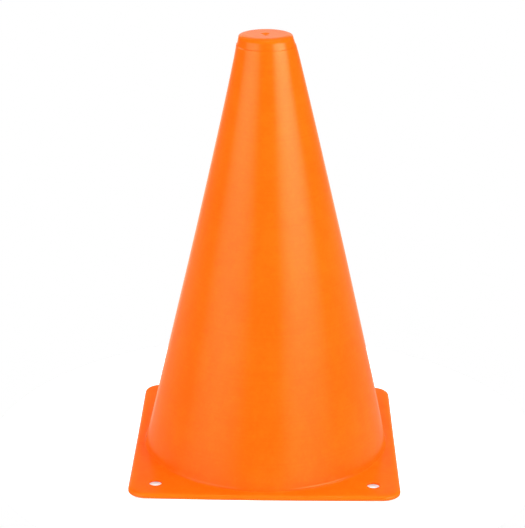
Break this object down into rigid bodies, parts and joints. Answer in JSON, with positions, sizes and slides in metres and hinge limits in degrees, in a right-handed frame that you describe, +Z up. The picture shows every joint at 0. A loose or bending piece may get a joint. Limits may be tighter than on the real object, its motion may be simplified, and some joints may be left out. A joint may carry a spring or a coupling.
{
  "type": "marker cone",
  "caption": "Thin hollow marker cone on a square base plate with rounded corners, corner peg holes and a closed flat top above a ring seam.",
  "frame": {"origin": "centre of the square footprint, on the surface that the cone stands on", "axes": "+Z up along the cone's axis, X and Y square to the sides of the base"},
  "size_m": [0.14, 0.14, 0.226],
  "materials": {
    "shell": "satin orange polyethylene"
  },
  "bodies": {
    "root": {"cone_body": "shell", "top_cap": "shell"}
  },
  "joints": []
}
